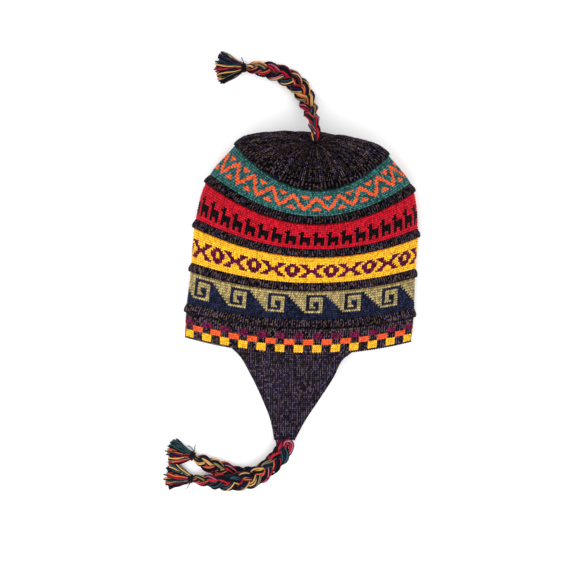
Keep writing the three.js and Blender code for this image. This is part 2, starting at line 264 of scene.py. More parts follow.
# %% Yarn tubes
SIDES = 5
UP = np.array([0, 0, 1.0])
CLEAR = 0.05  # mm that a yarn stays off the floor
# painted shade: the light shares below darken each yarn's faces that turn away from outward
INNER_LIGHT = 0.12  # on a yarn's side that faces into its bundle
FLANK_LIGHT = 0.45
TURN_LIGHT = 0.75  # growth of the light as a side turns outwards
BAKE_SHARE = 0.9  # of a yarn's strip of texture


def unit(v):
    """Each vector divided by its length."""
    return v / np.linalg.norm(v, axis=-1, keepdims=True)


def yarn_tubes(name, paths, radius, colours, upward, outward=None):
    """Point = path + radius (side cos a + over sin a), where side is square to path and upward,
    and over is square to path and side. The radius falls to nothing at both ends. Shade is painted
    on the side of a yarn that faces into its bundle, darker by how far it turns away from outward."""
    count, steps, _ = paths.shape
    along = unit(np.gradient(paths, axis=1))
    side = unit(np.cross(along, np.broadcast_to(upward, paths.shape)))
    over = np.cross(side, along)
    turn = 2 * np.pi * np.arange(SIDES) / SIDES
    ends = np.ones(steps)
    ends[[0, -1]] = 0
    thick = (np.broadcast_to(radius, (count, steps)) * ends)[..., None, None]
    ring = side[:, :, None] * np.cos(turn)[:, None] + over[:, :, None] * np.sin(turn)[:, None]
    points = (paths[:, :, None] + thick * ring).reshape(-1, 3)
    points[:, 2] = np.maximum(points[:, 2], CLEAR)
    cells = grid_faces(steps, SIDES, False, True)
    faces = (np.arange(count)[:, None, None, None] * steps * SIDES + cells).reshape(-1, 4)
    facing = np.ones(ring.shape[:3])
    if outward is not None:
        facing = np.sum(ring * outward[:, :, None], -1)
    # painted shade, darkest on the side that faces into the bundle
    light = INNER_LIGHT + (1 - INNER_LIGHT) * np.clip(FLANK_LIGHT + TURN_LIGHT * facing, 0, 1)
    light = light.ravel()[faces]
    shade = np.broadcast_to(colours[:, None, None, None, :], (count, steps - 1, SIDES, 4, 3))
    shade = shade.reshape(-1, 4, 3) * light[..., None]
    tube, step, face, corner = np.indices((count, steps - 1, SIDES, 4))
    u = (tube + BAKE_SHARE * (face + ((corner == 1) | (corner == 2))) / SIDES) / count
    v = (step + (corner > 1)) / steps
    bake = np.stack([u, v], -1).reshape(-1, 4, 2)
    return put_mesh(name, points, faces, shade, bake, plied_wool, merge=True)


# %% [markdown]
# Braids
#
# Each cord of the real hat is a plait of three strands, and each strand is a bundle of yarns in
# the hat's colours. A strand of a plait swings from side to side once in a pitch, and up and down
# twice, a third of a pitch behind its neighbour, so it passes over one strand and under the next.

# %% Braids
PITCH = 44.0  # mm, seen from above, for one full swing of a strand
SWING = 5.5  # mm to each side, in a braid of full width
RISE = 2.9  # mm up and down
BUNDLE = (5.2, 3.2)  # mm, half the width and half the height of one strand
YARN_RADIUS = 0.85
CORE_RADIUS = 2.3
THINNEST = 0.8  # of a yarn's thickness, where the braid narrows
FULL_WIDTH = 20.0
STEP = 2.4
TIGHT, SLACK = 0.9, 0.13  # how far out a yarn lies in its strand, and how that varies
TWIST = 0.55  # turns of a strand's yarns in one swing
WANDER = 0.22  # radians by which a yarn strays from its place
YARN_HUES = {
    "red": "#a81e2c", "orange": "#bc5a34", "gold": "#c4985a", "sage": "#786e50", "teal": "#24464a",
    "navy": "#181c34", "black": "#100e14", "wine": "#52162e", "pink": "#a85a70",
}
STRANDS = [
    "black black red red wine black navy navy gold gold black black orange red navy black".split(),
    "teal teal black black gold gold navy black sage sage black navy black teal black navy".split(),
    "black navy orange orange black black wine pink black red red black teal navy gold black".split(),
]
# the braid on the crown has more warm yarns
WARM_STRAND = (
    "teal wine black red gold gold orange black sage sage black navy black pink wine gold".split()
)
YARNS = len(STRANDS[0])
WIDTHS = {
    "top": ([0, 0.12, 0.3, 0.55, 0.8, 0.95, 0.985, 1], [11, 14, 18, 23, 22, 15, 7, 7]),
    "upper_flap": ([0, 0.1, 0.4, 0.7, 0.88, 0.96, 0.98, 1], [18, 22, 23, 20, 15, 12, 7, 7]),
    "lower_flap": ([0, 0.2, 0.35, 0.55, 0.8, 0.92, 0.98, 1], [13, 13, 15, 20, 21, 16, 7, 7]),
}


def braid_paths(route, widths, rng):
    """Strand k lies at (swing sin p, rise sin 2p) across and over the route, with p = 2 pi
    s / pitch + 2 pi k / 3, where s is the way along the route as seen from above. Its yarns lie on
    an oval round it that turns slowly along the strand, each with a slow wave of its own, as no two
    yarns are pulled equally tight. Three thicker paths in the strands' middles stand for the yarns
    inside, which hardly show."""
    steps = len(route)
    share = np.linspace(0, 1, steps)
    scale = np.interp(share, *widths) / FULL_WIDTH
    along = unit(np.gradient(route, axis=0))
    across = unit(np.stack([along[:, 1], -along[:, 0], np.zeros(steps)], 1))
    over = np.cross(across, along)
    seen = np.concatenate([[0], np.cumsum(np.linalg.norm(np.diff(route[:, :2], axis=0), axis=1))])
    phase = 2 * np.pi * (seen / PITCH + np.arange(3)[:, None] / 3)
    swing = (SWING * scale * np.sin(phase))[..., None]
    rise = (RISE * np.sqrt(scale) * np.sin(2 * phase))[..., None]
    strand = route + across * swing + over * rise
    ahead = unit(np.gradient(strand, axis=1))
    side = unit(np.cross(ahead, np.broadcast_to(over, ahead.shape)))
    lift = np.cross(side, ahead)
    own = 2 * np.pi * rng.random((2, 3, YARNS, 1))
    slack = TIGHT + SLACK * np.sin(2.3 * phase[:, None] + own[0])
    turn = 2 * np.pi * np.arange(YARNS)[None, :, None] / YARNS + TWIST * phase[:, None]
    turn = turn + WANDER * np.sin(1.7 * phase[:, None] + own[1])
    wide = (BUNDLE[0] * scale - YARN_RADIUS) * slack * np.cos(turn)
    high = (BUNDLE[1] * np.sqrt(scale) - YARN_RADIUS) * slack * np.sin(turn)
    paths = strand[:, None] + side[:, None] * wide[..., None] + lift[:, None] * high[..., None]
    # the way out of each yarn's strand, which sets the painted shade on the yarn's inner side
    facing = side[:, None] * np.cos(turn)[..., None] + lift[:, None] * 1.4 * np.sin(turn)[..., None]
    shape = (3 * YARNS, steps, 3)
    paths, facing = np.concatenate([paths.reshape(shape), strand]), unit(facing).reshape(shape)
    facing = np.concatenate([facing, lift])
    thick = np.repeat([[YARN_RADIUS], [CORE_RADIUS]], [3 * YARNS, 3], 0)
    return paths, facing, over, thick * np.maximum(np.sqrt(scale), THINNEST)


# %% [markdown]
# Yarns at the tip
#
# The upper flap's braid is drawn through the flap's tip. Its first yarns show there as an arch,
# one inside the other, beside some that run straight on and draw in.

# %% Make the braids
ARCH = np.array(
    [
        (-24, -196, 19), (-23.5, -187, 23), (-20, -181, 24), (-14.5, -180.5, 24.2),
        (-10.5, -186, 24.2), (-12.5, -195, 23), (-19, -204, 19),
    ]
)
ARCH_MIDDLE = np.array([-16.8, -191, 22.5])
ARCH_SIZES = (1, 0.82, 0.64, 0.46, 0.28)
STRAIGHT_FROM = (-31, -28.5, -26)
DRAWN_TO = -23.5
TIP_LOOPS = [ARCH_MIDDLE + (ARCH - ARCH_MIDDLE) * size for size in ARCH_SIZES]
for x in STRAIGHT_FROM:
    turned = x + 0.3 * (DRAWN_TO - x)
    TIP_LOOPS.append([(x, -179.5, 19.4), (x, -182.5, 22), (turned, -189, 23.5), (turned, -196, 20)])
TIP_HUES = "wine pink wine red navy navy wine navy".split()
braids = {}
for name, points in ROUTES.items():
    route, length = smooth_route(points, STEP)
    paths, outward, over, thick = braid_paths(route, WIDTHS[name], rng)
    hues = STRANDS[0] + (WARM_STRAND if name == "top" else STRANDS[1]) + STRANDS[2] + ["black"] * 3
    if name == "upper_flap":
        loops = [smooth_route(loop, 0.1)[0] for loop in TIP_LOOPS]
        loops = [loop[np.linspace(0, len(loop) - 1, len(route)).astype(int)] for loop in loops]
        paths = np.concatenate([paths, loops])
        thick = np.concatenate([thick, np.full(np.shape(loops)[:2], YARN_RADIUS)])
        # the tip loops' undersides get painted shade, as their outward is up
        outward = np.concatenate([outward, np.broadcast_to(UP, np.shape(loops))])
        hues = hues + TIP_HUES
    dyed = np.array([linear(YARN_HUES[hue]) for hue in hues])
    braid = yarn_tubes(name + "_braid_yarns", paths, thick, dyed, over, outward)
    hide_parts(name + "_braid")
    braids[name] = (braid, route, length)

# %% [markdown]
# Tassels
#
# Below its tie each braid ends in the cut ends of its yarns. They come out of the neck together,
# fan out and lie on the floor in a few layers. Each end is one path: straight out of the neck,
# then aside by its place in the fan, and down to its layer's height.

# %% Tassels
# length and spread of the fan in mm, and degrees that it turns from the braid's own heading
TASSELS = {"top": (33, 31, 0), "upper_flap": (30, 23, 0), "lower_flap": (30, 26, 22)}
ENDS = 116
END_STEPS = 16
NECK = 6.6  # mm across the tied neck
SWAY = 1.3  # mm that an end waves to each side
MIXED = 0.4  # share of the ends that lie out of their colour's place
FLUFF = ([0, 0.5, 1], [0.6, 0.75, 0.95])  # places along an end, and its radius there in mm
FAN_ORDER = (
    "navy teal black navy teal black orange black navy red black gold black sage red black wine".split()
)


def level_heading(route):
    """The direction in which a braid ends, level with the floor, and the one to its left."""
    ahead = unit((route[-1] - route[-4]) * (1, 1, 0))
    return ahead, np.array([-ahead[1], ahead[0], 0])


def tassel_paths(route, length, spread, turn, rng):
    """Point(t) = neck + heading length t (1 - 0.6 fan^2) + aside spread fan t^0.9, with fan from
    -0.5 to 0.5, falling from the neck's height to the layer's height with a small wave."""
    ahead, left = level_heading(route)
    cos, sin = np.cos(np.radians(turn)), np.sin(np.radians(turn))
    heading, aside = cos * ahead + sin * left, cos * left - sin * ahead
    t = np.concatenate([[0], np.linspace(0.002, 0.998, END_STEPS - 2), [1]])[None, :, None]
    fan = (np.linspace(-0.5, 0.5, ENDS) + rng.normal(0, 0.035, ENDS))[:, None, None]
    layer = (np.arange(ENDS) * 3 % 7 * 0.5)[:, None, None]
    reach = (length * (0.93 + 0.07 * rng.standard_normal(ENDS)))[:, None, None]
    start = route[-1] + heading * 0.2 + aside * fan * NECK
    start = start + UP * 2.2 * (layer - 1.5)
    wave = SWAY * np.sin(2 * np.pi * (t * 0.9 + rng.random(ENDS)[:, None, None])) * t
    out = start + heading * reach * t * (1 - 0.6 * fan**2) + aside * (spread * fan * t**0.9 + wave)
    low = 1.1 + 2.4 * layer * (1 - 0.2 * t) * (1 - 1.2 * fan**2)
    height = start[..., 2:] + (low - start[..., 2:]) * (t * t * (3 - 2 * t))
    return np.concatenate([out[..., :2], height], -1)


for name, (length, spread, turn) in TASSELS.items():
    paths = tassel_paths(braids[name][1], length, spread, turn, rng)
    order = [FAN_ORDER[k * len(FAN_ORDER) // ENDS] for k in range(ENDS)]
    shades = np.array([linear(YARN_HUES[hue]) for hue in order])
    shades = np.where(rng.random((ENDS, 1)) < MIXED, shades[rng.permutation(ENDS)], shades)
    fluff = np.interp(np.linspace(0, 1, END_STEPS), *FLUFF)
    # painted shade on the ends' undersides, as outward is up
    outward = np.broadcast_to(UP, paths.shape)
    tassel = yarn_tubes(name + "_tassel_yarns", paths, fluff, shades, UP, outward)
    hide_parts(name + "_tassel")

# %% [markdown]
# Ties
#
# A length of black yarn is wound a few times round the neck of each tassel and knotted, and its
# thin ends stick out. It is one helix round the neck and two free ends.

# %% Ties
TIE_RADIUS = 0.75
TIE_TURNS = 4
TIE_SIZE = 4.9  # mm from the neck's middle to the wound yarn
FREE_RADIUS = 0.45
FREE_BENDS = (0.4, 1.2)
for name, (braid, route, length) in braids.items():
    heading, aside = level_heading(route)
    t = np.linspace(0, 1, 90)[:, None]
    turn = 2 * np.pi * TIE_TURNS * t
    middle = route[-1] + heading * (6 * t - 2.4)
    wound = middle + aside * TIE_SIZE * np.cos(turn) + UP * TIE_SIZE * np.sin(turn)
    wound[:, 2] = np.maximum(wound[:, 2], TIE_RADIUS)
    sign = 1 if name == "upper_flap" else -1
    paths = [wound]
    for k in FREE_BENDS:
        reach = 5.2 + (11 - 3 * k) * t - 4 * k * t**2
        free = route[-1] + heading * (k * t * 9) + aside * sign * reach
        paths.append(free * (1, 1, 0) + UP * (5.5 - 4.6 * t))
    radius = np.array([TIE_RADIUS, FREE_RADIUS, FREE_RADIUS])[:, None]
    shades = np.array([linear(YARN_HUES["black"])] * len(paths))
    tie = yarn_tubes(name + "_tie", np.stack(paths), radius, shades, heading)

# %% [markdown]
# The hat's surface
#
# The hat is one tube, flattened where it lies on its side, and wedge-shaped because the crown
# stands higher than the brim. A table gives its shape at the brim and at each welt, and a smooth
# curve through each column of the table gives the shape in between. The values are within a few
# millimetres of the CAD solids' own, so that every stitch falls where its solid is.

# %% Hat surface
# y, centre, half width, slope, sag of the upper layer, lift of the lower, fold height, top height
SECTIONS = np.array(
    [
        (-63.1, -5.3, 134, 2.7, 17, 6, 10, 28),
        (-28.4, -2.7, 134.6, 3.1, 15.8, 6, 11.5, 35),
        (19.4, 0.8, 132.5, 3.4, 20.3, 6, 14, 46),
        (68.8, 4.6, 131.5, 5.9, 30.4, 7, 18, 61),
        (122.0, 8.9, 120.5, 5.4, 45.9, 8, 24, 80),
        (164.4, 10.9, 86.2, 5.8, 49.8, 10.8, 34, 97),
    ]
)
STEPS = np.diff(SECTIONS[:, 0])
WALL = 3.0
FLOOR_LIFT = 2.2  # mm that the bands stay off the floor, as the hat lies on its welts
SLOPES = np.gradient(SECTIONS, axis=0)
SLOPES[[0, -1]] = np.diff(SECTIONS, axis=0)[[0, -1]]
FINE = 4001  # points round the hat for measuring lengths


def section_at(place):
    """The table's columns at a place between its rows: a cubic with slopes from the rows beside,
    and a straight line beyond both ends."""
    row = np.clip(np.floor(place).astype(int), 0, len(SECTIONS) - 2)
    s = (place - row)[..., None]
    rise = SECTIONS[row + 1] - SECTIONS[row]
    before, after = SLOPES[row], SLOPES[row + 1]
    bend = 3 * rise - 2 * before - after + s * (before + after - 2 * rise)
    curve = SECTIONS[row] + s * (before + s * bend)
    return np.where((s < 0) | (s > 1), SECTIONS[row] + rise * s, curve)


def hat_point(angle, place, out):
    """x = centre + (half + out) cos a. y = fold - slope cos a, moved by sag or lift times sin^2 a.
    z = fold + (top + out - fold) sin a above, and below it falls to the floor by the smaller of 1 and
    1.35 sin^0.9 a. Towards the crown the lower layer's sin^2 is drawn to the power 0.4, as the crown's
    folded edge has square corners."""
    y, centre, half, slope, sag, lift, side, top = np.moveaxis(section_at(place), -1, 0)
    across, rise = np.cos(angle), np.sin(angle)
    bow = 1 - across**2
    corner = np.maximum(bow, 1e-6) ** (1 - 0.6 * np.clip(place - 4, 0, 1))
    under = np.minimum(1, 1.35 * np.abs(rise) ** 0.9)
    floor = np.maximum(FLOOR_LIFT - out, 0)
    above = side + (top + out - side) * rise
    x = centre + (half + out) * across
    y = y - slope * across + np.where(rise >= 0, -sag * bow, lift * corner)
    z = np.where(rise >= 0, above, side - (side - floor) * under)
    return np.stack(np.broadcast_arrays(x, y, z), -1)


def even_angles(place, count, spread=1.0):
    """Angles from the underside's middle round by the left fold, with equal lengths of hat between,
    and the length all round. The upper layer is drawn out by spread, so that it takes fewer stitches
    than the lower one."""
    fine = np.linspace(1.5 * np.pi, -0.5 * np.pi, FINE)
    ring = hat_point(fine, np.full(FINE, float(place)), 0.0)
    piece = np.linalg.norm(np.diff(ring, axis=0), axis=1)
    passed = np.cumsum(piece / np.where(np.sin(fine[1:]) > 0, spread, 1.0))
    even = np.arange(count) / count * passed[-1]
    return np.interp(even, np.concatenate([[0], passed]), fine), piece.sum()


def local_step(section, angles):
    """Millimetres of hat between this section and one like it a whole section on, at each angle."""
    near = 0.12
    ahead = hat_point(angles, np.full(angles.shape, section + near), 0.0)
    behind = hat_point(angles, np.full(angles.shape, section - near), 0.0)
    return np.linalg.norm(ahead - behind, axis=-1) / (2 * near)


for place in range(6):
    print("section", place, "is", round(even_angles(place, 8)[1]), "mm round")

# %% [markdown]
# Plain stitches
#
# In plain knitting each stitch shows as a V of two slanted legs, which points to the brim. A
# displacement texture could fake it, but then the edge between two colours would be straight.
# Here each stitch has four columns and three lines of mesh: the lines bend in a V, so colours
# meet in teeth as they do in wool, and each leg swells between two grooves.

# %% Stitches
COLUMNS, LINES = 4, 3
LINE_AT = np.array([0, 0.34, 0.68])  # of a row: its groove, and the two ends of its legs
SWELL = np.array([0, 1, 0.95])  # how far the leg stands out at those lines
V_DEPTH = 0.55  # rows between the ends of a V and its point
RELIEF = 1.0  # mm that a leg stands out of the groove beside it
UNEVEN = 0.15  # share by which stitches differ in height
# painted shade: grooves between legs and between rows are darkened in the colour
GROOVE_SHADE = 0.02  # how dark the bottom of a groove is in a black yarn
GLOW = 0.7  # how much of that darkness a pale yarn fills with its own scattered light
LEAD = list("okbn")  # pattern yarns that cover a quarter of the ground stitch beside them
TONE_LIMITS = (-1.6, 1.2)  # how far a stitch's tone may stray
SLIPS = 0.17  # share of the marl's legs whose plies are out of turn


def row_lines(rows):
    """Places of the lines of mesh, in rows: the row's number plus the line's place in it."""
    line = np.arange(LINES * rows + 1)
    return line // LINES + LINE_AT[line % LINES]


def knit(rows, stitches, rng, columns, between, over):
    """For each line and column of mesh: the relief, two humps |sin 2 pi f| that dip to between at a
    stitch's sides and less in its middle, times a swell along the leg that dips to over between two
    rows, the V's shift (|2f - 1| - 1/2) in rows, and the shade painted in the grooves, darkest
    where the legs and their swell are lowest. f runs across one stitch, and the swell along its row."""
    f = (np.arange(columns * stitches) % columns) / columns
    g = np.arange(LINES * rows + 1) % LINES
    dip = between + 0.15 * (1 - np.cos(2 * np.pi * f))
    leg = dip + (1 - dip) * np.abs(np.sin(2 * np.pi * f)) ** 0.8
    swell = np.maximum(SWELL[g], over)
    uneven = 1 + UNEVEN * rng.standard_normal((rows + 1, stitches))
    uneven = np.repeat(np.repeat(uneven, LINES, 0)[: len(g)], columns, 1)
    height = leg[None, :] * swell[:, None]
    shift = np.broadcast_to(V_DEPTH * (np.abs(2 * f - 1) - 0.5), height.shape)
    return RELIEF * (height * uneven - 0.5), shift, GROOVE_SHADE + (1 - GROOVE_SHADE) * height


# %% [markdown]
# Dyed stitches
#
# A chart's letters become colours, cell by cell of the mesh, times a shade painted into the
# grooves. Light that enters pale wool comes out again in its grooves, so those stay brighter than
# the grooves of black wool.

# %% Dyes on stitches
def shaded(legs, shade):
    """Colour of a corner: dye times painted shade ^ (1 - glow dye), so that grooves in pale wool glow.
    """
    return legs * shade ** (1 - GLOW * legs)


def dye(chart, rng, columns=COLUMNS):
    """A colour for each cell of mesh: the dye of its stitch's letter, lighter or darker at random,
    and more so in a dark dye. For d it is a shade of the marl, whose dark ply and lighter ply take
    turns from leg to leg, with slips. A ground stitch gives its side cell to a pattern stitch beside
    it, but not where it has one on both sides."""
    chart = np.array([list(row) for row in chart])
    both = np.isin(np.roll(chart, 1, 1), LEAD) & np.isin(np.roll(chart, -1, 1), LEAD)
    legs, both = np.repeat(chart, columns, 1), np.repeat(both, columns, 1)
    place = np.arange(legs.shape[1]) % columns
    before, after = np.roll(legs, 1, 1), np.roll(legs, -1, 1)
    legs = np.where((place == 0) & np.isin(before, LEAD) & ~both, before, legs)
    legs = np.where((place == columns - 1) & np.isin(after, LEAD) & ~both, after, legs)
    plain = np.zeros(legs.shape + (3,))
    for letter, code in DYES.items():
        plain[legs == letter] = linear(code)
    uneven = np.clip(rng.standard_normal((len(chart), 2 * chart.shape[1], 1)), *TONE_LIMITS)
    spread = 0.2 + 0.5 * (1 - plain.max(-1, keepdims=True)) ** 2
    tone = np.exp(spread * np.repeat(uneven, columns // 2, 1))
    size = (len(chart), columns // 2 * chart.shape[1])
    ply = (np.arange(size[1]) + (rng.random(size) < SLIPS)) % 2
    codes = np.array([[linear(code) for code in shades] for shades in (MARL_DARK, MARL_LIGHT)])
    marl = np.repeat(np.repeat(codes[ply, rng.integers(0, len(MARL_DARK), size)], 2, 1), LINES, 0)
    cells = np.repeat(plain * tone, LINES, 0)
    return np.where(np.repeat(legs == "d", LINES, 0)[..., None], marl, cells)


# %% [markdown]
# Knitted rings
#
# Bands and welts are rings of knitting: a profile, carried round the hat. The front of the
# profile runs from the crown side to the brim side and has the stitches, and its back closes the
# wall on the inside. A band's profile is a straight wall. A welt's rolls outwards and hangs over
# the band below it, so it casts a shadow there. The dark line under each welt is painted shade as
# well, in the lower rows of the welt and the top rows of the band below.

# %% Knitted rings
INNER_TINT, INNER_SHADE = 0.6, 0.7  # how dull the inside is, as little light gets there


def polyline(table, s):
    """Values of a table of points at shares s of the length of the line through them."""
    table = np.asarray(table, float)
    length = np.concatenate([[0], np.cumsum(np.linalg.norm(np.diff(table, axis=0), axis=1))])
    return np.stack([np.interp(s * length[-1], length, table[:, k]) for k in range(table.shape[1])], -1)


def lined(legs, shade, middle, lines):
    """Colours and shades of the knitted lines, carried on over the inside in one dull colour, as
    painted shade.
    """
    inner = np.broadcast_to(INNER_TINT * middle, (lines - len(legs),) + legs.shape[1:])
    dull = np.full((lines - len(shade), shade.shape[1]), INNER_SHADE)
    return np.concatenate([legs, inner]), np.concatenate([shade, dull])


def put_knit(name, points, legs, shade, material, wrap=True):
    """A closed grid of points, none below the floor, as a mesh: a colour for each cell, times the
    shade at its corners. A grid that isn't wrapped has folded edges, whose points are merged."""
    lines, columns = points.shape[:2]
    points = np.maximum(points, (-np.inf, -np.inf, 0)).reshape(-1, 3)
    below, beside = np.roll(shade, -1, 0), np.roll(shade, -1, 1)
    corner = np.stack([shade, beside, np.roll(below, -1, 1), below], -1)[:, : legs.shape[1]]
    colours = shaded(legs[:, :, None, :], corner[..., None]).reshape(-1, 4, 3)
    i, j, k = np.indices(corner.shape)
    bake = np.stack([(j + (k % 3 > 0)) / columns, (i + (k > 1)) / lines], -1).reshape(-1, 4, 2)
    faces = grid_faces(lines, columns, True, wrap).reshape(-1, 4)
    return put_mesh(name, points, faces, colours, bake, material, not wrap)


def knitted_ring(name, section, front, back, chart, crease_shade, angles, rng, tone, dips, material):
    """Point = hat(angle, section + anchor + along / step, out). (anchor, along, out) runs down the
    front, with each line bent by the V and raised by the relief square to the profile, and back up
    behind. An anchor of 1 counts from the next section, and step is the hat's local length. The
    crease table lists places down the front and how much light reaches them, painted as shade."""
    rows, stitches = len(chart), len(chart[0])
    relief, shift, shade = knit(rows, stitches, rng, COLUMNS, *dips)
    s = row_lines(rows)[:, None] / rows
    # painted shade in the creases, from the crease table
    shade = shade * np.interp(s, *crease_shade)
    at = np.clip(s - shift / rows, -0.5 / rows, 1 + 0.5 / rows)
    within = np.clip(at, 0.01, 0.99)
    ahead = (polyline(front, within + 0.01) - polyline(front, within - 0.01)) / 0.02
    profile = polyline(front, np.clip(at, 0, 1)) + ahead * (at - np.clip(at, 0, 1))[..., None]
    flat = unit(ahead[..., 1:] + ahead[..., :1] * (np.min(STEPS), 0))
    profile[..., 1:] += np.stack([flat[..., 1], -flat[..., 0]], -1) * relief[..., None]
    rear = np.broadcast_to(np.asarray(back, float)[:, None, :], (len(back),) + profile.shape[1:])
    anchor, along, out = np.moveaxis(np.concatenate([profile, rear]), -1, 0)
    step = (1 - anchor) * local_step(section, angles) + anchor * local_step(section + 1, angles)
    points = hat_point(np.broadcast_to(angles, along.shape), section + anchor + along / step, out)
    # tone: for the welts, painted shade that darkens them towards the crown
    legs = dye(chart, rng) * tone
    legs, shade = lined(legs, shade, np.median(legs, (0, 1)), len(points))
    return put_knit(name, points, legs, shade, material)


def grid_area(grid):
    """Square millimetres of a grid: the lengths of its cells' cross products, added up."""
    cells = np.cross(np.diff(grid, axis=0)[:, :-1], np.diff(grid, axis=1)[:-1])
    return np.sum(np.linalg.norm(cells, axis=-1))


# %% [markdown]
# The bands' patterns
#
# The patterns are knitting charts, one sign for each stitch, as a knitter would draw them: the
# first line is nearest the crown. A chart repeats round the hat, and one column of the repeat is
# set at the place across the hat where the photograph shows it.

# %% Charts
def patterned(chart, ink, ground, above, below, repeats):
    """A chart drawn with # and . in two yarns, repeated round the hat, between plain rows."""
    width = len(chart[0])
    rows = [letter * width for letter in above] + chart + [letter * width for letter in below]
    return [row.replace("#", ink).replace(".", ground) * repeats for row in rows]


ZIGZAG = [
    "#...###...", "##...#...#", ".##.....##", "..#.....#.",
    "...#...#..", "...##.##..", "#...###...", "##...#...#",
]
LLAMA = ["..#...", ".##...", "..#...", "..####", "..####", "..####", "..#..#", "..#..#"]
CROSS = ["###....###", ".##....##.", "..##..##..", "...####..."]
RING = ["..##..", ".####.", "##..##", "##..##", "##..##", ".####.", ".####.", "..##.."]
XO = [cross + ring for cross, ring in zip(CROSS + CROSS[::-1], RING)]
WAVE = [
    "########........", "#......##.......", "#......###......", "#..##..####.....",
    "#..##..#####....", "#...#..######...", "#####..#######..", ".......########.",
]
BLOCKS = [top * 4 + bottom * 4 for top, bottom in ["wd"] * 3 + ["do"] * 3 + ["yd"] * 4]
CHARTS = {
    "teal": patterned(ZIGZAG, "o", "t", "tttt", "ttt", 20),
    "red": patterned(LLAMA, "k", "r", "rrrrr", "rr", 37),
    "yellow": patterned(XO, "b", "y", "yyyyy", "yyy", 13),
    "olive": patterned(WAVE, "n", "g", "gg", "nnn", 13),
    "brim": patterned(BLOCKS, "", "", "ddd", "d", 26),
}
# section, slot, x in mm where the photograph shows a motif, that motif's column in the chart, and
# how much wider a stitch is on the upper layer than on the lower
BANDS = {
    "brim": (0, "dark_marl", -2.9, 1.5, 1.07),
    "olive": (1, "olive_yarn", 4.8, -0.5, 1.1),
    "yellow": (2, "yellow_yarn", 11.2, 4.5, 1.08),
    "red": (3, "red_yarn", 0.6, 3, 1.1),
    "teal": (4, "teal_yarn", 15.6, 0, 1.15),
}
for name, chart in CHARTS.items():
    print(name, "chart:", len(chart[0]), "stitches round,", len(chart), "rows")

# %% [markdown]
# Bands
#
# Each band is stranded knitting, two yarns thick. Its top edge tucks in under the welt above it,
# and its lower edge meets the next welt in the same teeth.

# %% Bands
WELT_HALF = 5.25  # mm, half of a welt's height along the hat
GAP = 0.3
TUCK = 4.0  # mm from a welt's middle to the edge that is tucked under it
# painted shade: the band's top rows, under the welt's lip, nearly black, and its last rows a little
# darker
BAND_CREASE_SHADE = ([0, 0.035, 0.055, 0.08, 0.97, 1], [0.01, 0.02, 0.6, 1, 1, 0.85])
BAND_DIPS = (0.35, 0.03)  # what the relief falls to between two stitches and between two rows
knitted_wool = wool("stranded_wool_knit", fleck_mm=0.8, fleck=0.16, bump_mm=0.2)
ring_angles, band_pieces = {}, {}
for name, (section, slot, x, column, spread) in BANDS.items():
    chart = CHARTS[name]
    stitches = len(chart[0])
    angles, girth = even_angles(section + 0.5, COLUMNS * stitches, spread)
    low = WELT_HALF + GAP if section else 0.0
    half_stitches = hat_point(angles[::COLUMNS // 2], np.full(2 * stitches, section + 0.5), 0.0)
    under = half_stitches[:, 2] < SECTIONS[section, 6]
    here = np.argmin(np.abs(half_stitches[:, 0] - x) + 1e3 * under) / 2 - 0.5
    chart = [np.roll(list(row), round(here - column)) for row in chart]
    back = [(0, low, -0.5 * WALL), (0, low + 0.3, -WALL), (0.5, 0, -WALL)]
    back = back + [(1, -TUCK - 0.3, -WALL), (1, -TUCK, -0.5 * WALL)]
    front = [(1, -TUCK, 0), (0, low, 0)]
    band = knitted_ring(
        name + "_band_knit", section, front, back, chart, BAND_CREASE_SHADE,
        angles, rng, 1.0, BAND_DIPS, knitted_wool,
    )
    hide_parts(name + "_band")
    ring_angles[section] = angles
    heights = np.linspace(low, STEPS[section] - TUCK, 12)[:, None]
    grid = hat_point(angles[None, :], section + heights / STEPS[section], 0.0)
    area = grid_area(np.concatenate([grid, grid[:, :1]], 1))
    band_pieces[section] = (band, girth, area)
    print(name, "band: cloth of", round(girth), "x", round(area / girth), "mm")

# %% [markdown]
# Welts
#
# A welt is a few rows of dark marl that roll outwards between two bands. Its upper rows carry on
# from the band above, and its lower edge hangs over the band below.

# %% Welts
CROWN_WALES = 108
WELT_ROWS = 5
FRONT = [(0, 5.25, 0), (0, 4, 0.7), (0, 1.5, 2.2), (0, -1.2, 3.2), (0, -3.6, 3.0), (0, -4.9, 2.0)]
BACK = [
    (0, -4.8, 1.1), (0, -3.7, 0.9), (0, -3.3, -0.2), (0, -3.2, -2.6),
    (0, 1, -2.6), (0, 4.9, -2.6), (0, 5.15, -1.2),
]
# painted shade: the welt's top edge a little darker, and its lower edge, over the band below, nearly
# black
WELT_CREASE_SHADE = ([0, 0.1, 0.3, 0.75, 0.86, 0.94, 1], [0.75, 0.9, 1, 1, 0.7, 0.1, 0.01])
WELT_DIPS = (0.05, 0.4)
# painted shade: the welts' marl is darker towards the crown
WELT_SHADE = {1: 1.1, 2: 1.05, 3: 0.85, 4: 0.65, 5: 0.6}  # darker towards the crown
marl_wool = wool("dark_marl_wool_knit", fleck_mm=0.8, fleck=0.15, bump_mm=0.25, sheen=0.0)
ring_angles[5] = even_angles(5, COLUMNS * CROWN_WALES)[0]
for section in range(1, 6):
    angles = ring_angles[section]
    name = "welt_" + str(6 - section)
    chart = ["d" * (len(angles) // COLUMNS)] * WELT_ROWS
    welt = knitted_ring(
        name + "_knit", section, FRONT, BACK, chart, WELT_CREASE_SHADE,
        angles, rng, WELT_SHADE[section], WELT_DIPS, marl_wool,
    )
    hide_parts(name)

# %% [markdown]
# Crown
#
# The crown is the end of the tube: its stitches are halved and drawn together in the middle,
# where the cord comes out. It is a ring too, from the topmost welt to a small hole in the middle
# and back along the inside, with puckers that grow towards the gather.

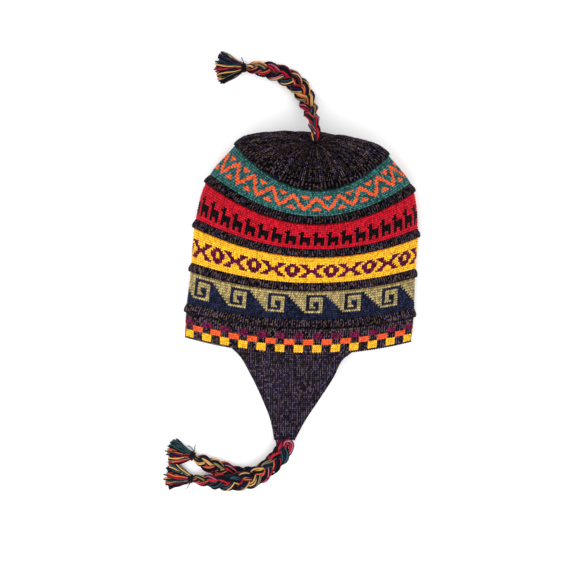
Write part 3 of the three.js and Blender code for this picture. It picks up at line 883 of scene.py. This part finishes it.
# %% Crown
CROWN_BASE = np.array([14.8, 155.8, 50.0])
CROWN_AXIS = unit(np.array([0, 0.75, 0.66]))
CROWN_ROWS = 28
CROWN_COLUMNS = 6
CROWN_DIPS = (0.0, 0.2)
# painted shade: the first number darkens the whole crown's marl
CROWN_SHADE, RIB_SPREAD, RIB_LIMIT = 0.85, 0.5, 1.3  # ribs differ in tone, up to a limit
HOLE = 0.03  # of the way to the edge, where the cord comes out
CROWN_INSIDE = np.array([HOLE, 0.1, 0.25, 0.5, 0.75, 0.98])


def crown_point(angle, share):
    """Base + share (edge - base) + axis (18 (1 - share^3) - 4 exp(-(share / 0.18)^2) + puckers +
    slack). Puckers are waves round the gather, and slack is softer waves half way to the edge."""
    edge = hat_point(angle, 5 + (WELT_HALF + GAP) / local_step(5, angle), 0.0)
    dome = 18 * (1 - share**3) - 4 * np.exp(-((share / 0.18) ** 2))
    folds = 1.8 * np.cos(11 * angle) + 0.7 * np.cos(17 * angle + 1) + 0.5 * np.cos(29 * angle + 2)
    pucker = folds * np.exp(-(((share - 0.3) / 0.2) ** 2)) * (1 - share)
    slack = 0.9 * (np.cos(9 * angle + 0.6) + np.cos(14 * angle))
    slack = slack * np.sin(np.pi * np.clip(share, 0, 1)) ** 2
    rise = (dome + pucker + slack)[..., None]
    return CROWN_BASE + share[..., None] * (edge - CROWN_BASE) + CROWN_AXIS * rise


def crown_normal(angle, share):
    """The cross product of the steps along share and along angle, which points out of the crown."""
    n = 0.01
    inward = crown_point(angle, share - n) - crown_point(angle, share + n)
    beside = crown_point(angle + n, share) - crown_point(angle - n, share)
    return unit(np.cross(inward, beside))


columns = CROWN_COLUMNS * CROWN_WALES
crown_angles = even_angles(5, columns)[0][None, :]
relief, shift, shade = knit(CROWN_ROWS, CROWN_WALES, rng, CROWN_COLUMNS, *CROWN_DIPS)
row_share = (1 - HOLE) / CROWN_ROWS
line_share = 1 - row_lines(CROWN_ROWS)[:, None] * row_share
share = np.clip(line_share + shift * row_share, HOLE, 1.02)
wide = np.broadcast_to(crown_angles, share.shape)
small = np.clip(line_share / 0.35, 0.25, 1)  # stitches grow flatter as they draw together
outer = crown_point(wide, share) + crown_normal(wide, share) * (relief * small)[..., None]
wide, share = np.broadcast_arrays(crown_angles, CROWN_INSIDE[:, None])
inner = crown_point(wide, share) - crown_normal(wide, share) * WALL
points = np.concatenate([outer, inner])
rib = np.exp(RIB_SPREAD * np.clip(rng.standard_normal(CROWN_WALES), -RIB_LIMIT, RIB_LIMIT))
rib = CROWN_SHADE * np.repeat(rib, CROWN_COLUMNS)[:, None]
legs = dye(["d" * CROWN_WALES] * CROWN_ROWS, rng, CROWN_COLUMNS) * rib
# the painted groove shade, squared, so the crown's grooves are darker
legs, shade = lined(legs, shade**2, legs.mean((0, 1)), len(points))
crown = put_knit("crown_knit", points, legs, shade, marl_wool)
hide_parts("crown")

# %% [markdown]
# Ear flaps
#
# The flaps are knitted on from the brim and narrow to a tip. Their columns of stitches carry on
# from the brim's, straight down, and the outline cuts them off at a neat edge: columns that lie
# outside it fold up into the edge.

# %% Ear flaps
FLAP_LENGTH = 101.8
FLAP_ROWS = 44
# share of the flap's length, and x of its left and right edge there
OUTLINE = np.array(
    [
        (0, -83.2, 58.5), (0.07, -74.2, 48), (0.27, -61, 36.8),
        (0.54, -47.2, 18.8), (0.77, -37.9, 3.3), (1, -33.4, -9.2),
    ]
)
MARGIN = 3.0  # mm of stitches past the outline
EDGE_ROUND = 2.2
TIP_HEIGHT = 17.0
LOWER_INSET = 2.5  # mm by which the lower flap is smaller at each edge
FLAP_DIPS = (0.05, 0.1)
FLAP_BLEND = 0.25  # how far the marl's shades draw together
# painted light: the flaps' marl is lighter and bluer than the crown's
FLAP_PAINTED_LIGHT = (1.1, 1.17, 1.4)  # bluer than the crown
LIP_REACH = 2.4  # mm that the upper flap goes in under the brim
LIP_DEPTHS = np.array([-1.75, -1.25, -1.1])[:, None]
ROOT_DEPTH, LIP_SHADE = -1.6, 0.2


def outline_at(along):
    """Left and right edge at shares of the length: cubic pieces through the outline's points."""
    route, _ = smooth_route(np.c_[OUTLINE[:, 0] * 100, OUTLINE[:, 1:]], 0.5)
    return [np.interp(along, route[:, 0] / 100, route[:, edge]) for edge in (1, 2)]


def flap_points(x, along, shift, upper, inset, depth):
    """y runs from the brim's curve to a straight tip, z eases from the brim's height to the tip's,
    and depth, from -1 to 1 between underside and top, is scaled down to nothing at the edges."""
    y0, centre, half, slope, sag, lift, side, top = SECTIONS[0]
    left, right = (edge[:, None] for edge in outline_at(along[:, 0]))
    inside = (x > left + inset) & (x < right - inset)
    along = np.clip(along - np.where(inside, shift, 0) / FLAP_ROWS, -0.5 / FLAP_ROWS, 1)
    x = np.clip(x, left + inset, right - inset)
    across = (x - centre) / half
    bow = 1 - across**2
    move = -sag if upper else lift
    root = y0 - slope * across + move * bow - GAP
    y = root + (y0 + move - GAP - FLAP_LENGTH - root) * along
    start = side + (top - side) * np.sqrt(bow) - WALL / 2 if upper else WALL / 2 + 0 * x
    z = start + ((TIP_HEIGHT if upper else WALL / 2) - start) * along * (2 - along)
    rim = np.minimum(np.minimum(x - left - inset, right - inset - x), (1 - along) * FLAP_LENGTH)
    thick = np.sqrt(1 - (1 - np.clip(rim / EDGE_ROUND, 0, 1)) ** 2)
    return np.stack([x, y, z + depth * thick * WALL / 2], -1)


def lip(x, shift, inset):
    """Three lines that carry the upper flap's root a little way in under the brim, 0.3 mm below it,
    so that no light comes through where the two meet."""
    tuck = LIP_REACH * np.array([1, 1, 0])[:, None]
    points = flap_points(x, 0 * tuck, shift, True, inset, LIP_DEPTHS + 0 * x)
    return points + tuck[..., None] * (0, 1, 0)


# %% [markdown]
# Two flaps
#
# Only the upper flap has a lip, because the lower one lies on the floor.

# %% Make the flaps
def ear_flap(name, upper, rng):
    """Two knitted grids, top and underside, joined round their lines into one closed sheet."""
    angles = ring_angles[0]
    x = hat_point(angles, np.zeros(len(angles)), 0.0)[:, 0]
    within = (x > OUTLINE[0, 1] - MARGIN) & (x < OUTLINE[0, 2] + MARGIN)
    inside = np.flatnonzero((angles > 0) & (angles < np.pi) & within)
    first = inside[0] // COLUMNS * COLUMNS
    stitches = (inside[-1] - first) // COLUMNS + 1
    x = x[first : first + COLUMNS * stitches + 1][None, :]
    made = knit(FLAP_ROWS, stitches, rng, COLUMNS, *FLAP_DIPS)
    relief, shift, shade = (np.pad(part, ((0, 0), (0, 1)), "edge") for part in made)
    along = row_lines(FLAP_ROWS)[:, None] / FLAP_ROWS
    inset = 0 if upper else LOWER_INSET
    depth = 1 + relief / (WALL / 2)
    over = flap_points(x, along, shift, upper, inset, depth)
    below = np.where(along > 0, -1, ROOT_DEPTH if upper else -1) + 0 * depth
    under = flap_points(x, along, shift, upper, inset, below)[::-1]
    points = np.concatenate([over, under] + ([lip(x, shift[:3], inset)] if upper else []))
    lines, columns = points.shape[:2]
    legs = dye(["d" * stitches] * FLAP_ROWS, rng)
    # painted light on the flaps' marl
    legs = ((1 - FLAP_BLEND) * legs + FLAP_BLEND * legs.mean((0, 1))) * FLAP_PAINTED_LIGHT
    rest = np.repeat(legs[:1], lines - 2 * len(legs) - 1, 0)
    legs = np.concatenate([legs, legs[:1], legs[::-1], rest])
    rest = np.full((lines - 2 * len(shade), columns), LIP_SHADE)
    shade = np.concatenate([shade, shade[::-1], rest])
    flap = put_knit(name + "_knit", points, legs, shade, marl_wool, wrap=False)
    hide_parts(name)
    return flap


upper_flap = ear_flap("upper_ear_flap", True, rng)
lower_flap = ear_flap("lower_ear_flap", False, rng)

# %% [markdown]
# Cloth sizes
#
# The size that each band, the crown and the flaps would have laid flat is printed: a band's length
# round the hat and its height, and the others' areas, all measured on the smooth surface under the
# stitches. The bands' sizes are printed where they are made.

area = grid_area(crown_point(*np.broadcast_arrays(crown_angles, np.linspace(HOLE, 1, 40)[:, None])))
print("crown cloth:", round(area / 100), "square cm")
left, right = outline_at(np.linspace(0, 1, 200))
for flap, inset in ((upper_flap, 0), (lower_flap, LOWER_INSET)):
    area = (np.mean(right - left) - 2 * inset) * FLAP_LENGTH
    print(flap.name, "cloth:", round(area / 100), "square cm")

# %% [markdown]
# Floor and light
#
# The photograph has a white ground and soft light with hardly a shadow. A wide pale board under a
# bright even sky gives that, and one large lamp from the brim's side models the stitches.

# %% Floor
BOARD_HALF, BOARD_TOP = 3.0, -0.0002  # metres
board = bpy.data.meshes.new("pale_floor")
corners = BOARD_HALF * np.array([(-1, -1), (1, -1), (1, 1), (-1, 1)])
board.from_pydata([(x, y, BOARD_TOP) for x, y in corners.tolist()], [], [(0, 1, 2, 3)])
floor = bpy.data.objects.new("pale_floor", board)
bpy.context.collection.objects.link(floor)
paint = bpy.data.materials.new("matt_white_board")
paint.use_nodes = True
coat = paint.node_tree.nodes["Principled BSDF"].inputs
coat["Base Color"].default_value = (0.95, 0.95, 0.95, 1)
coat["Roughness"].default_value = 0.9
board.materials.append(paint)

# %% Light
sky = bpy.data.worlds.new("soft_white_studio")
sky.use_nodes = True
glow = sky.node_tree.nodes["Background"].inputs
glow["Color"].default_value = (1, 1, 1, 1)
glow["Strength"].default_value = 1.4
bpy.context.scene.world = sky
lamp = bpy.data.lights.new("soft_lamp", "AREA")
lamp.shape = "SQUARE"
lamp.size = 1.2
lamp.energy = 10
lit = bpy.data.objects.new("soft_lamp", lamp)
lit.location = (-0.3, -0.85, 1.0)
lit.rotation_euler = (np.arctan2(0.9, 1.0), 0, np.arctan2(-0.3, 0.85))
bpy.context.collection.objects.link(lit)
bpy.context.scene.view_settings.view_transform = "Standard"
print("light: sky and one soft lamp")
